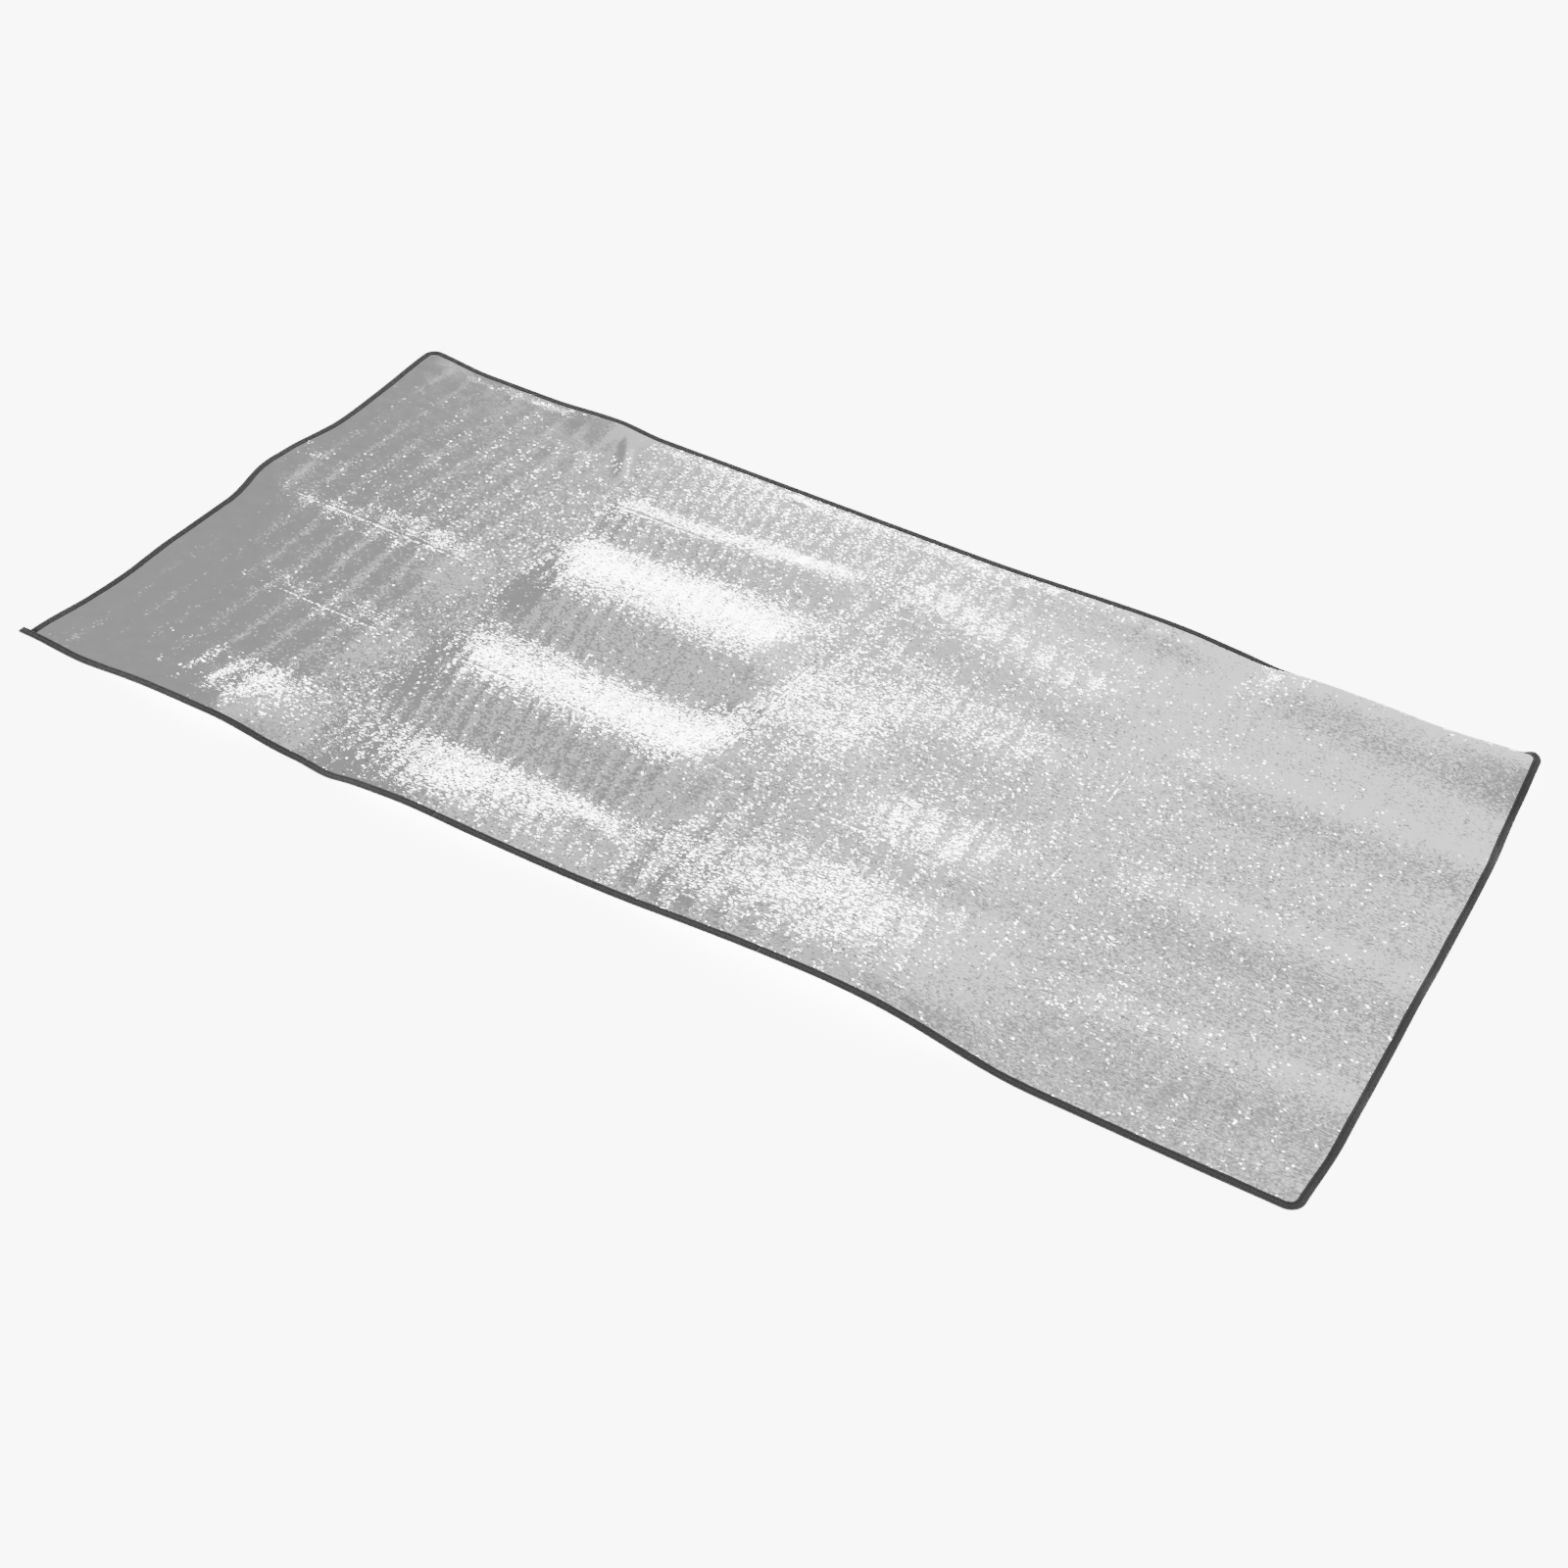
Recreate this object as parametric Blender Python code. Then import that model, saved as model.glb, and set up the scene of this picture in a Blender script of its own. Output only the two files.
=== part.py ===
"""Folding foam sleeping pad: foil, foam and foil in four panels, with a stitched binding tape.

The pad lies flat. X runs along its length, Y across its width and Z up, in metres. The origin is on
the ground under the middle of the pad. Three creases across the width divide it into four panels,
which fold as a concertina: fold_1 and fold_3 close upwards and fold_2 closes downwards between them.
"""

import math

import bmesh
import bpy
import numpy as np
from mathutils import Matrix, Vector

MM = 0.001

# Size of the pad over its binding
LENGTH = 2.0
WIDTH = 1.0
PANELS = 4
PANEL_LENGTH = LENGTH / PANELS

# Edge: the binding's outer wall stands this far outside the layers that it wraps
WALL = 1.0 * MM
WALL_CLEARANCE = 0.4 * MM
CORNER_RADIUS = 22 * MM
FLAP = 12 * MM
SEAM_OFFSET = 8 * MM
THREAD_WIDTH = 0.8 * MM
CREASE_GAP = 0.4 * MM
TAPE_END_GAP = 0.4 * MM

# Lines of the panel grid next to an outer edge: under the tape, and where the foam is full again
MARGIN = 13 * MM
FULL = 24 * MM
CELLS_ALONG = 6
CELLS_ACROSS = 20

# Layers: (bottom, top) above the pad's underside, in the open field and squeezed in the binding
FIELD = {"foil_bottom": (0.0, 0.4), "foam_core": (0.7, 4.0), "foil_top": (4.3, 4.7)}
SQUEEZED = {"foil_bottom": (1.7, 2.0), "foam_core": (2.3, 3.3), "foil_top": (3.6, 3.9)}
TAPE_BOTTOM = 0.9 * MM
TAPE_TOP = 4.7 * MM
TAPE_THICKNESS = 0.5 * MM
BOBBIN_BOTTOM = 0.1 * MM
NEEDLE_BOTTOM = 5.0 * MM
THREAD_HEIGHT = 0.5 * MM

# Heights of the fold axes: above the top stitching, or just under the underside
FOLD_AXIS_HEIGHT = {"fold_1": 6.6 * MM, "fold_2": -0.5 * MM, "fold_3": 31 * MM}

# How the foil panels stay bowed after storage. Ridges run along the pad. Each one: start and end
# of its crest (x, y), its reach towards -Y and +Y, its reach past the ends, and its height.
RIDGES = (
    ((-0.42, 0.262), (-0.08, 0.295), 0.09, 0.06, 0.08, 3 * MM),
    ((-0.41, 0.025), (-0.09, 0.030), 0.12, 0.18, 0.09, 18 * MM),
    ((-0.41, -0.240), (-0.04, -0.245), 0.11, 0.16, 0.09, 17 * MM),
    ((0.03, -0.100), (0.14, -0.110), 0.24, 0.24, 0.12, 12 * MM),
    ((0.10, 0.300), (0.37, 0.245), 0.12, 0.09, 0.12, 4 * MM),
    ((0.22, 0.060), (0.36, 0.050), 0.14, 0.12, 0.12, 4 * MM),
    ((0.28, -0.200), (0.38, -0.200), 0.10, 0.12, 0.11, 5 * MM),
    ((0.66, 0.195), (0.99, 0.215), 0.10, 0.07, 0.14, 5 * MM),
    ((0.68, -0.095), (0.99, -0.085), 0.11, 0.08, 0.15, 5 * MM),
    ((0.70, -0.340), (0.99, -0.330), 0.12, 0.08, 0.15, 5 * MM),
    ((0.66, 0.472), (0.99, 0.472), 0.14, 0.05, 0.12, 9 * MM),
    ((-0.99, 0.060), (-0.97, 0.060), 0.12, 0.12, 0.10, 4 * MM),
    ((-0.90, -0.060), (-0.64, -0.020), 0.12, 0.12, 0.13, 5.5 * MM),
    ((-0.80, -0.240), (-0.62, -0.240), 0.12, 0.12, 0.11, 6 * MM),
)

# Stretches of the long edges that stand off the ground: x of the highest point, reach towards -X
# and +X, y of the crest, its reach towards the middle of the pad and past the crest, and its height.
EDGE_LIFTS = (
    (-0.65, 0.33, 0.15, -0.50, 0.19, 0.20, 27 * MM),
    (-0.37, 0.12, 0.16, -0.50, 0.17, 0.20, 12 * MM),
    (-0.23, 0.22, 0.30, -0.50, 0.21, 0.20, 24 * MM),
    (0.42, 0.60, 0.24, -0.47, 0.24, 0.14, 16 * MM),
    (0.34, 0.60, 0.30, -0.50, 0.52, 0.16, 20 * MM),
    (-0.60, 0.14, 0.09, 0.50, 0.10, 0.20, 8 * MM),
    (0.42, 0.34, 0.16, 0.50, 0.12, 0.20, 8 * MM),
)

# Corners that curl up: (side along X, side along Y), reach and height
CORNER_CURLS = (
    ((-1, -1), 0.13, 8 * MM),
    ((-1, 1), 0.13, 4 * MM),
    ((1, 1), 0.18, 12 * MM),
    ((1, -1), 0.16, 2 * MM),
)

# Materials: colour, roughness and metallic value
FINISHES = {
    "foil": ((0.78, 0.78, 0.79, 1.0), 0.30, 1.0),
    "foam": ((0.90, 0.90, 0.88, 1.0), 0.80, 0.0),
    "tape": ((0.045, 0.046, 0.050, 1.0), 0.80, 0.0),
    "thread": ((0.030, 0.030, 0.033, 1.0), 0.65, 0.0),
}

# The layers' own outline, inside the binding's outer wall
HALF_LENGTH = LENGTH / 2 - WALL
HALF_WIDTH = WIDTH / 2 - WALL


def clear_scene():
    for old in list(bpy.data.objects):
        bpy.data.objects.remove(old, do_unlink=True)


def make_material(name):
    colour, roughness, metallic = FINISHES[name]
    material = bpy.data.materials.new(name)
    material.use_nodes = True
    shader = material.node_tree.nodes["Principled BSDF"]
    shader.inputs["Base Color"].default_value = colour
    shader.inputs["Roughness"].default_value = roughness
    shader.inputs["Metallic"].default_value = metallic
    return material


def swell(distance, reach_below, reach_above):
    """1 at the crest, 0 from the reach on, smooth between."""
    share = distance / (reach_above if distance > 0 else reach_below)
    return 0.5 + 0.5 * math.cos(math.pi * max(-1.0, min(1.0, share)))


def ridge_height(x, y, start, end, reach_near, reach_far, reach_end, height):
    along = max(start[0] - x, x - end[0], 0.0)
    share = max(0.0, min(1.0, (x - start[0]) / (end[0] - start[0])))
    crest_y = start[1] + share * (end[1] - start[1])
    return height * swell(along, reach_end, reach_end) * swell(y - crest_y, reach_near, reach_far)


def lift_height(x, y, crest_x, reach_left, reach_right, crest_y, reach_in, reach_out, height):
    inward = (y - crest_y) * (-1 if crest_y > 0 else 1)
    return height * swell(x - crest_x, reach_left, reach_right) * swell(inward, reach_out, reach_in)


def curl_height(x, y, sides, reach, height):
    away = math.hypot(x - sides[0] * HALF_LENGTH, y - sides[1] * HALF_WIDTH)
    return height * swell(away, reach, reach)


def relief(x, y):
    """Height of the pad's underside over the ground. It is level from FULL out to the edge."""
    x = max(FULL - HALF_LENGTH, min(HALF_LENGTH - FULL, x))
    y = max(FULL - HALF_WIDTH, min(HALF_WIDTH - FULL, y))
    ridges = sum(ridge_height(x, y, *ridge) for ridge in RIDGES)
    lifts = sum(lift_height(x, y, *lift) for lift in EDGE_LIFTS)
    return ridges + lifts + sum(curl_height(x, y, *curl) for curl in CORNER_CURLS)


def grid_lines(low, high, cells, bound_low, bound_high):
    """Cell borders from low to high, with the two extra lines of a bound margin where there is one."""
    first = [low, low + MARGIN, low + FULL] if bound_low else [low]
    last = [high - FULL, high - MARGIN, high] if bound_high else [high]
    inner = np.linspace(first[-1], last[0], cells + 1)[1:-1]
    return [*first, *(float(value) for value in inner), *last]


def panel_lines(panel):
    """The grid's x and y lines for panel 1 to 4."""
    start = -LENGTH / 2 + (panel - 1) * PANEL_LENGTH
    low = -HALF_LENGTH if panel == 1 else start + CREASE_GAP
    high = HALF_LENGTH if panel == PANELS else start + PANEL_LENGTH - CREASE_GAP
    along = grid_lines(low, high, CELLS_ALONG, panel == 1, panel == PANELS)
    return along, grid_lines(-HALF_WIDTH, HALF_WIDTH, CELLS_ACROSS, True, True)


def rounded(x, y):
    """An outline point moved onto the corner's arc. The tape's ends meet at the one square corner."""
    if x < 0 and y < 0:
        return x, y
    centre_x = math.copysign(HALF_LENGTH - CORNER_RADIUS, x)
    centre_y = math.copysign(HALF_WIDTH - CORNER_RADIUS, y)
    out_x = max(0.0, (x - centre_x) * math.copysign(1, x))
    out_y = max(0.0, (y - centre_y) * math.copysign(1, y))
    if not (out_x and out_y) or math.hypot(out_x, out_y) <= CORNER_RADIUS:
        return x, y
    if math.isclose(out_x, out_y):
        out_x = out_y = CORNER_RADIUS * math.sqrt(0.5)
    elif out_x > out_y:
        out_x = math.sqrt(CORNER_RADIUS**2 - out_y**2)
    else:
        out_y = math.sqrt(CORNER_RADIUS**2 - out_x**2)
    return centre_x + math.copysign(out_x, x), centre_y + math.copysign(out_y, y)


def edge_distance(x, y):
    """How far a point lies inside the pad's outer edge, with its rounded corners."""
    inside_x, inside_y = HALF_LENGTH - abs(x), HALF_WIDTH - abs(y)
    if (x < 0 and y < 0) or inside_x > CORNER_RADIUS or inside_y > CORNER_RADIUS:
        return min(inside_x, inside_y)
    return CORNER_RADIUS - math.hypot(CORNER_RADIUS - inside_x, CORNER_RADIUS - inside_y)


def placed_grid(columns, rows, place):
    """A grid primitive whose vertex (i, j) is moved to place(i, j)."""
    bm = bmesh.new()
    bmesh.ops.create_grid(bm, x_segments=columns, y_segments=rows, size=1.0)
    for vertex in bm.verts:
        column = round((vertex.co.x + 1) / 2 * columns)
        row = round((vertex.co.y + 1) / 2 * rows)
        vertex.co = place(column, row)
    return bm


def finish_object(name, bm, body, material):
    """Makes the named object, with its origin on the axis of its panel's fold."""
    bmesh.ops.recalc_face_normals(bm, faces=bm.faces)
    mesh = bpy.data.meshes.new(name)
    bm.to_mesh(mesh)
    bm.free()
    mesh.materials.append(material)
    mesh.shade_smooth()
    mesh.set_sharp_from_angle(angle=math.radians(40))
    obj = bpy.data.objects.new(name, mesh)
    body["collection"].objects.link(obj)
    obj.parent = body["empty"]
    mesh.transform(Matrix.Translation(-body["axis_point"]))
    return obj


def make_layer(kind, panel, body, material):
    """One foil or foam layer of a panel: a grid on the relief, extruded to its thickness."""
    along, across = panel_lines(panel)

    def level(x, y, side):
        squeezed = edge_distance(x, y) < (MARGIN + FULL) / 2
        height = (SQUEEZED if squeezed else FIELD)[kind][side] * MM
        return relief(x, y) + height

    def place(column, row):
        x, y = rounded(along[column], across[row])
        return Vector((x, y, level(x, y, 0)))

    bm = placed_grid(len(along) - 1, len(across) - 1, place)
    raised = bmesh.ops.extrude_face_region(bm, geom=bm.faces[:])["geom"]
    for vertex in (item for item in raised if isinstance(item, bmesh.types.BMVert)):
        vertex.co.z = level(vertex.co.x, vertex.co.y, 1)
    return finish_object(f"{kind}_{panel}", bm, body, material)


def tape_section():
    """The folded tape's outline as (distance outside the layers' edge, height): a C that opens inwards."""
    outer, inner = WALL, WALL_CLEARANCE
    low, high = TAPE_BOTTOM, TAPE_TOP
    inner_low, inner_high = low + TAPE_THICKNESS, high - TAPE_THICKNESS
    bend = 0.5 * MM
    return (
        (-FLAP, low),
        (outer - bend, low),
        (outer, low + bend),
        (outer, high - bend),
        (outer - bend, high),
        (-FLAP, high),
        (-FLAP, inner_high),
        (inner, inner_high),
        (inner, inner_low),
        (-FLAP, inner_low),
    )


def thread_section(low):
    """A flattened hexagon for the thread that lies along the seam."""
    half, middle = THREAD_WIDTH / 2, low + THREAD_HEIGHT / 2
    top = low + THREAD_HEIGHT
    return (
        (-SEAM_OFFSET - half, middle),
        (-SEAM_OFFSET - half / 2, low),
        (-SEAM_OFFSET + half / 2, low),
        (-SEAM_OFFSET + half, middle),
        (-SEAM_OFFSET + half / 2, top),
        (-SEAM_OFFSET - half / 2, top),
    )


def long_edge_stations(panel, side):
    """Points along one long edge of a panel, which the tape and the threads follow."""
    along, _ = panel_lines(panel)
    stations = along[:]
    square_corner = panel == 1 and side < 0
    if panel == 1:
        stations = [-LENGTH / 2, *along[1:]] if square_corner else along[2:]
    if panel == PANELS:
        stations = along[:-2]
    if panel == 1 and not square_corner:
        stations[0] += TAPE_END_GAP
    if panel == PANELS:
        stations[-1] -= TAPE_END_GAP
    return [(x, side * HALF_WIDTH) for x in stations]


def end_stations(panel):
    """Points round one short end, from the +Y corner's arc to the other corner."""
    side = -1 if panel == 1 else 1
    x = side * HALF_LENGTH
    _, across = panel_lines(panel)
    arc = [(side * (HALF_LENGTH - inset), HALF_WIDTH) for inset in (FULL, MARGIN)]
    points = [rounded(*point) for point in arc]
    points += [rounded(x, y) for y in reversed(across)]
    if panel == PANELS:
        return points + [rounded(px, -HALF_WIDTH) for px, _ in reversed(arc)]
    return [*points[:-2], (x, -HALF_WIDTH + MARGIN + TAPE_END_GAP)]


def outward_normals(points):
    """The mitred normal at each station, pointing out of the pad. Both ends are cut square to X or Y."""
    legs = [(Vector(b) - Vector(a)).normalized() for a, b in zip(points, points[1:])]
    bends = [(before + after).normalized() for before, after in zip(legs, legs[1:])]
    mitres = [mean / mean.dot(after) for mean, after in zip(bends, legs[1:])]
    square_first, square_last = (Vector(map(round, leg)) for leg in (legs[0], legs[-1]))
    runs_along = [square_first, *mitres, square_last]
    normals = [Vector((along.y, -along.x)) for along in runs_along]
    middle = len(points) // 2
    if normals[middle].dot(Vector(points[middle])) < 0:
        normals = [-normal for normal in normals]
    return normals


def make_run(name, points, section, body, material):
    """A tape or thread: its section carried along the stations, joined round and capped."""
    normals = outward_normals(points)

    def place(column, row):
        outside, height = section[row % len(section)]
        x, y = points[column]
        spot = Vector((x, y)) + normals[column] * outside
        return Vector((spot.x, spot.y, relief(x, y) + height))

    bm = placed_grid(len(points) - 1, len(section), place)
    bmesh.ops.remove_doubles(bm, verts=bm.verts, dist=0.01 * MM)
    ends = [edge for edge in bm.edges if edge.is_boundary]
    bmesh.ops.holes_fill(bm, edges=ends, sides=0)
    return finish_object(name, bm, body, material)


def make_edge(place_name, points, body, materials):
    """The binding tape along one stretch of edge, with its needle and bobbin threads."""
    make_run(f"binding_{place_name}", points, tape_section(), body, materials["tape"])
    needle, bobbin = thread_section(NEEDLE_BOTTOM), thread_section(BOBBIN_BOTTOM)
    make_run(f"needle_thread_{place_name}", points, needle, body, materials["thread"])
    make_run(f"bobbin_thread_{place_name}", points, bobbin, body, materials["thread"])


def make_bodies(collection):
    """One entry per panel: the empty on the axis of the fold that moves it, and where that axis is."""
    bodies = [{"collection": collection, "empty": None, "axis_point": Vector((0, 0, 0))}]
    for number, (name, height) in enumerate(FOLD_AXIS_HEIGHT.items(), start=1):
        axis_point = Vector((-LENGTH / 2 + number * PANEL_LENGTH, 0, height))
        empty = bpy.data.objects.new(name, None)
        collection.objects.link(empty)
        empty.parent = bodies[-1]["empty"]
        empty.location = axis_point - bodies[-1]["axis_point"]
        bodies.append({"collection": collection, "empty": empty, "axis_point": axis_point})
    return bodies


def main():
    clear_scene()
    collection = bpy.data.collections.new("foam_sleeping_pad")
    bpy.context.scene.collection.children.link(collection)
    materials = {name: make_material(name) for name in FINISHES}
    for panel, body in enumerate(make_bodies(collection), start=1):
        for kind in FIELD:
            make_layer(kind, panel, body, materials["foam" if kind == "foam_core" else "foil"])
        for side_name, side in (("near", -1), ("far", 1)):
            make_edge(f"{side_name}_{panel}", long_edge_stations(panel, side), body, materials)
        if panel in (1, PANELS):
            end_name = "left_end" if panel == 1 else "right_end"
            make_edge(end_name, end_stations(panel), body, materials)


main()
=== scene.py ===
"""Looks of the folding foam sleeping pad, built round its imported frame.

The pad lies on the ground: X along its length, Y across it, Z up, in metres, as in the CAD model.
Every layer follows one height function, so foil, foam, tape and thread stay on top of each other.
"""

import math
from collections import namedtuple

import bpy
import numpy as np
from mathutils import Matrix


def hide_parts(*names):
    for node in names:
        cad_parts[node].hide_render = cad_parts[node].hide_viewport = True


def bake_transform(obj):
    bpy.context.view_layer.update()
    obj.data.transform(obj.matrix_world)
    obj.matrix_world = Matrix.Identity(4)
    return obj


MM = 0.001

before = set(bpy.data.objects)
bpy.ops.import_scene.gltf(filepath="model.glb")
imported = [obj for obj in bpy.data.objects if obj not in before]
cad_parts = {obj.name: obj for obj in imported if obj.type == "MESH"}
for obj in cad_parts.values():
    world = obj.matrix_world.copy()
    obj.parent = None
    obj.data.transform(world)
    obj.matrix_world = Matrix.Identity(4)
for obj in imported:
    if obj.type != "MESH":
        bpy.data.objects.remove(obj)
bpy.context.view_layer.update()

# ---------------------------------------------------------------- the pad's sizes, as in the CAD model
LENGTH, WIDTH = 2.0, 1.0
WALL = 1.0 * MM  # of the tape, between the outer edge and the layers
WALL_CLEARANCE = 0.4 * MM
HALF_LENGTH, HALF_WIDTH = LENGTH / 2 - WALL, WIDTH / 2 - WALL
CORNER_RADIUS = 22 * MM
FLAP = 12 * MM  # width of the folded tape on the pad
SEAM_OFFSET = 8 * MM  # from the outer edge
MARGIN = 13 * MM  # how far inside the edge the layers stay squeezed
FULL = 24 * MM  # how far inside the edge the large relief stays level
FOLDS = (-0.5, 0.0, 0.5)

# Levels above the pad's underside in millimetres: (bottom, top), in the open field and squeezed in
# the binding
FIELD = {"foil_underside": (0.1, 0.4), "foam": (0.7, 4.0), "foil_top": (4.3, 4.6)}
SQUEEZED = {"foil_underside": (1.7, 2.0), "foam": (2.3, 3.3), "foil_top": (3.6, 3.9)}

# Large relief. Ridges: start and end of the crest (x, y), reach towards -Y and +Y, reach past the
# ends, height.
RIDGES = (
    ((-0.42, 0.262), (-0.08, 0.295), 0.09, 0.06, 0.08, 3 * MM),
    ((-0.41, 0.025), (-0.09, 0.030), 0.12, 0.18, 0.09, 18 * MM),
    ((-0.41, -0.240), (-0.04, -0.245), 0.11, 0.16, 0.09, 17 * MM),
    ((0.03, -0.100), (0.14, -0.110), 0.24, 0.24, 0.12, 12 * MM),
    ((0.10, 0.300), (0.37, 0.245), 0.12, 0.09, 0.12, 4 * MM),
    ((0.22, 0.060), (0.36, 0.050), 0.14, 0.12, 0.12, 4 * MM),
    ((0.28, -0.200), (0.38, -0.200), 0.10, 0.12, 0.11, 5 * MM),
    ((0.66, 0.195), (0.99, 0.215), 0.10, 0.07, 0.14, 5 * MM),
    ((0.68, -0.095), (0.99, -0.085), 0.11, 0.08, 0.15, 5 * MM),
    ((0.70, -0.340), (0.99, -0.330), 0.12, 0.08, 0.15, 5 * MM),
    ((0.66, 0.472), (0.99, 0.472), 0.14, 0.05, 0.12, 9 * MM),
    ((-0.99, 0.060), (-0.97, 0.060), 0.12, 0.12, 0.10, 4 * MM),
    ((-0.90, -0.060), (-0.64, -0.020), 0.12, 0.12, 0.13, 5.5 * MM),
    ((-0.80, -0.240), (-0.62, -0.240), 0.12, 0.12, 0.11, 6 * MM),
)
# Lifted stretches of the long edges: crest x, reach -X, reach +X, crest y, reach in, reach out, height
EDGE_LIFTS = (
    (-0.65, 0.33, 0.15, -0.50, 0.19, 0.20, 27 * MM),
    (-0.37, 0.12, 0.16, -0.50, 0.17, 0.20, 12 * MM),
    (-0.23, 0.22, 0.30, -0.50, 0.21, 0.20, 24 * MM),
    (0.42, 0.60, 0.24, -0.47, 0.24, 0.14, 16 * MM),
    (0.34, 0.60, 0.30, -0.50, 0.52, 0.16, 20 * MM),
    (-0.60, 0.14, 0.09, 0.50, 0.10, 0.20, 8 * MM),
    (0.42, 0.34, 0.16, 0.50, 0.12, 0.20, 8 * MM),
)
# Corners that curl up: (side along X, side along Y), reach, height
CORNER_CURLS = (
    ((-1, -1), 0.13, 8 * MM),
    ((-1, 1), 0.13, 4 * MM),
    ((1, 1), 0.18, 12 * MM),
    ((1, -1), 0.16, 2 * MM),
)

# ---------------------------------------------------------------- shape added by this script
# Bows of the outline: place along the edge in metres, shift outward in millimetres
LEFT_BOW = (
    (-0.46, -2), (-0.30, -10), (-0.20, -6), (-0.06, -9), (0.06, 9), (0.11, 7), (0.24, -8), (0.46, 0),
)  # fmt: skip
RIGHT_BOW = ((-0.50, 0), (-0.36, 8), (0.20, 10), (0.38, 3), (0.50, 0))
FAR_BOW = ((-1.0, 0), (-0.86, -9), (0.05, -9), (0.40, -5), (0.58, -7), (0.74, -4), (0.94, -9), (1.0, -12))
NEAR_BOW = (
    (-1.0, 0), (-0.84, 4), (-0.66, 11), (-0.50, 0), (-0.42, 10), (-0.34, 13), (-0.22, 12),
    (0.05, 0), (1.0, 0),
)  # fmt: skip
BOW_REACH = 0.25
SQUEEZE_END = 45 * MM  # how far inside the edge the layers reach their full thickness
# The taped far edge of the last panel bends down: from x, to x, y and rounding of the bend, and for
# each metre of tape past it, the drop and the loss of width
OVERHANG = (0.60, 0.955, 0.486, 3 * MM, 0.85, 0.42)
OVERHANG_FADE = (60 * MM, 35 * MM)  # length in X over which it fades out, past its left and right end
OVERHANG_START = (0.45, 0.47)  # y over which its rounding fades in
# Waves across the pad, left by rolling: from x, to x, pitch, slant, height, how much livelier the
# embossing is there, and how much its strength goes up and down with the waves
RIBS = (
    (-0.98, -0.54, 50 * MM, 0.00, 0.34 * MM, 0.00, 0.35),
    (-0.50, -0.01, 28 * MM, 0.16, 0.30 * MM, 0.30, 0.50),
    (-0.05, 0.50, 46 * MM, 0.10, 0.80 * MM, 0.35, 0.60),
    (0.52, 1.02, 36 * MM, 0.03, 0.35 * MM, 0.60, 0.50),
)
RIB_FADE = 50 * MM
RIB_DRIFT = (0.14, 0.53, 0.77)  # share of a pitch that the ribs wander, over this far in Y and in X
RIB_PATCH = (0.11, 0.20)  # size in X and Y of the patches where the ribs are stronger or weaker
RIB_UNEVENNESS = 0.3
CRUMPLES = ((0.070, 0.050, 0.55 * MM), (0.030, 0.022, 0.22 * MM))  # scale in X, in Y, height
FINE_FROM, FINE_TO = 12 * MM, 40 * MM  # distance from the edge where the fine relief fades in
FOLD_GROOVE = (0.9 * MM, 4.0 * MM)  # depth, half width
FOLD_WANDER = (3 * MM, 0.05)  # how far the fold's groove wanders, over this far in Y
FOLD_PATCH = 0.03  # length in Y of its deeper and shallower stretches
# Pressed lines along the pad: y at the left end, at the right end, depth
LENGTH_CREASES = ((0.285, 0.262, 0.7 * MM), (0.020, -0.005, 0.6 * MM), (-0.200, -0.200, 0.9 * MM))
LENGTH_CREASE_REACH = 5.0 * MM
DOT_PITCH = 9 * MM  # the pressed lines are rows of dots
DOT_PATCH = 0.07  # length in X of their deeper and shallower stretches
# Short puckers: start, end, half width, height
PUCKERS = (
    ((-0.565, 0.475), (-0.505, 0.345), 10 * MM, 2.4 * MM),
    ((-0.535, 0.460), (-0.492, 0.350), 7 * MM, -1.6 * MM),
    ((-0.260, 0.492), (-0.215, 0.455), 9 * MM, 2.0 * MM),
    ((-0.150, -0.372), (0.020, -0.420), 22 * MM, 2.4 * MM),
    ((0.560, -0.200), (1.060, -0.200), 5 * MM, -0.7 * MM),
)

# ---------------------------------------------------------------- meshes
TOP_SPACING = (5.0 * MM, 4.0 * MM)
HIDDEN_SPACING = (8.0 * MM, 8.0 * MM)
CREASE_LINES = (-9, -6, -4, -2.6, -1.3, 0, 1.3, 2.6, 4, 6, 9)  # mm from a crease's middle line
EDGE_LINES = (0, 3, 7, 10, 13, 15.5, 18, 21, 24, 28)  # mm from the layers' edge
TAPE_STEP = 6 * MM
ARC_STEP = 2.5 * MM
TAPE_SWAY = (0.5 * MM, 0.035)  # how far the tape's inner edge sways, over this far along it
TAPE_LIFT = (0.12 * MM, 0.006)  # how far it lifts, over this far along it
TAPE_LOWER_SHARE = 0.3  # how far the lower flap goes down, as a share of that
TAPE_MIDDLE = 3 * MM  # level between the tape's upper and lower flap
TAIL = 12 * MM
STITCH = 4.2 * MM
STITCH_RADIUS = 0.30 * MM
STITCH_STEPS, STITCH_SIDES = 7, 6
STITCH_DIP = 0.8 * MM
STITCH_LEAN = 0.25 * MM
NEEDLE_LEVEL, BOBBIN_LEVEL = 4.55 * MM, 1.15 * MM

# The three sections that the layers and the edge are cut into: from x, to x, the bodies on both sides
# of the fold inside it, the fold's x, how far its bend reaches to each side, the CAD panels' numbers
CUT = 0.25
Section = namedtuple("Section", "name low high bodies fold_x bend_reach panels")
SECTIONS = (
    Section("left", -LENGTH / 2, -CUT, ("panel_1", "panel_2"), FOLDS[0], 9 * MM, (1, 2)),
    Section("middle", -CUT, CUT, ("panel_2", "panel_3"), FOLDS[1], 12 * MM, (2, 3)),
    Section("right", CUT, LENGTH / 2, ("panel_3", "panel_4"), FOLDS[2], 40 * MM, (3, 4)),
)

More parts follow.
